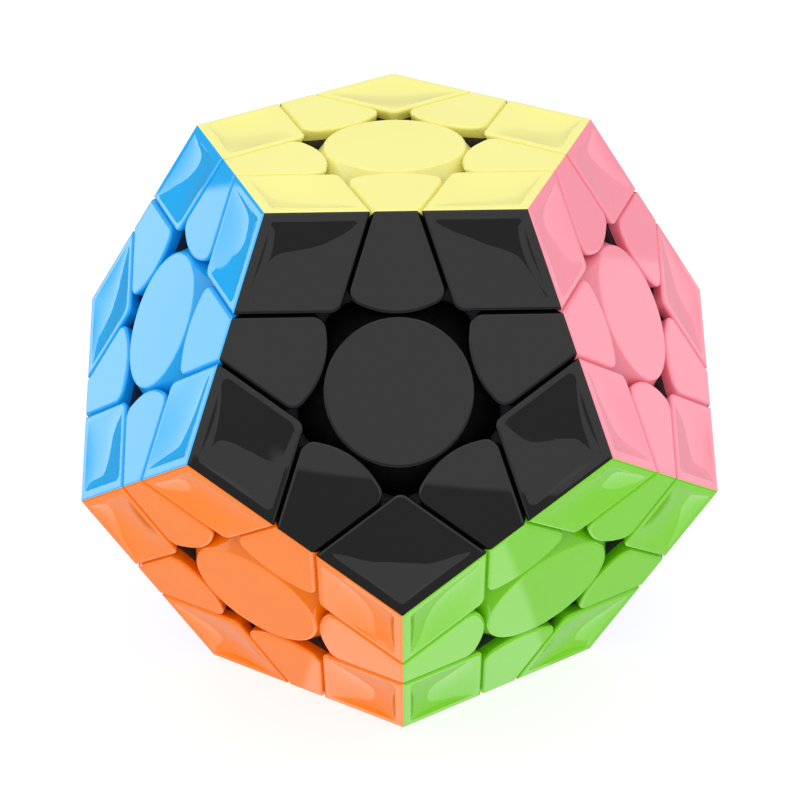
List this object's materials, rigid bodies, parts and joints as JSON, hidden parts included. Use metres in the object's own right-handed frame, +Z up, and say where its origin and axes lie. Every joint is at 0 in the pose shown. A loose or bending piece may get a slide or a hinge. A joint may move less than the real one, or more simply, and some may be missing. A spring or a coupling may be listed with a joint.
{
  "type": "dodecahedron twisty puzzle",
  "caption": "Handheld dodecahedron-shaped mechanical puzzle with coloured faces, round centre buttons, edge and corner pieces, and layers that turn about the face axes.",
  "frame": {"origin": "centre of the core, where all face axes cross", "axes": "+Z up through the top face's centre; -Y towards the front, the side of the front face; the puzzle rests on its bottom face"},
  "size_m": [0.0968, 0.1018, 0.0824],
  "materials": {
    "pale_yellow": "gloss",
    "black": "gloss",
    "pink": "gloss",
    "light_blue": "gloss",
    "red": "gloss",
    "dark_green": "gloss",
    "orange": "gloss",
    "lime_green": "gloss",
    "white": "gloss",
    "purple": "gloss",
    "dark_blue": "gloss",
    "bright_yellow": "gloss",
    "charcoal": "satin",
    "steel": "satin"
  },
  "bodies": {
    "core": {"core": "charcoal", "block_back_left_left_low_far_left": "dark_green", "block_back_left_low_back_low_far_left": "dark_green", "block_left_low_far_left_low_left": "light_blue", "block_right_low_right_low_far_right": "pink", "block_top_back_left_left": "pale_yellow", "centre_back_left": "dark_green", "centre_left": "light_blue", "centre_low_back": "white", "centre_low_far_left": "purple", "centre_low_far_right": "dark_blue", "centre_low_left": "orange", "centre_low_right": "lime_green", "centre_right": "pink", "centre_top": "pale_yellow", "edge_low_back_low_far_right": "white", "edge_low_left_low_right": "orange", "edge_top_right": "pale_yellow", "screw_back_right": "steel", "screw_bottom": "steel", "screw_front": "steel"},
    "front_layer": {"centre_base_front": "charcoal", "centre_cap_front": "black", "corner_front_left_low_left": "black", "corner_front_low_left_low_right": "black", "corner_front_low_right_right": "black", "corner_top_front_right": "pale_yellow", "corner_top_left_front": "pale_yellow", "edge_front_left": "black", "edge_front_low_left": "black", "edge_front_low_right": "black", "edge_front_right": "black", "edge_top_front": "pale_yellow", "spring_front": "steel"},
    "back_right_layer": {"centre_base_back_right": "charcoal", "centre_cap_back_right": "red", "corner_back_right_low_back_back_left": "red", "corner_back_right_low_far_right_low_back": "red", "corner_right_low_far_right_back_right": "pink", "corner_top_back_right_back_left": "pale_yellow", "corner_top_right_back_right": "pale_yellow", "edge_back_right_back_left": "red", "edge_back_right_low_back": "red", "edge_back_right_low_far_right": "red", "edge_right_back_right": "pink", "edge_top_back_right": "pale_yellow", "spring_back_right": "steel"},
    "bottom_layer": {"centre_base_bottom": "charcoal", "centre_cap_bottom": "bright_yellow", "corner_low_back_bottom_low_far_left": "white", "corner_low_back_low_far_right_bottom": "white", "corner_low_far_left_bottom_low_left": "purple", "corner_low_left_bottom_low_right": "orange", "corner_low_right_bottom_low_far_right": "lime_green", "edge_low_back_bottom": "white", "edge_low_far_left_bottom": "purple", "edge_low_far_right_bottom": "dark_blue", "edge_low_left_bottom": "orange", "edge_low_right_bottom": "lime_green", "spring_bottom": "steel"}
  },
  "joints": [
    {"name": "front_turn", "type": "hinge", "parent": "core", "child": "front_layer", "pos_m": [0, 0, 0], "axis": [0, -0.8944, 0.4472], "continuous": true},
    {"name": "back_right_turn", "type": "hinge", "parent": "core", "child": "back_right_layer", "pos_m": [0, 0, 0], "axis": [0.5257, 0.7236, 0.4472], "continuous": true},
    {"name": "bottom_turn", "type": "hinge", "parent": "core", "child": "bottom_layer", "pos_m": [0, 0, 0], "axis": [0, 0, -1], "continuous": true}
  ]
}
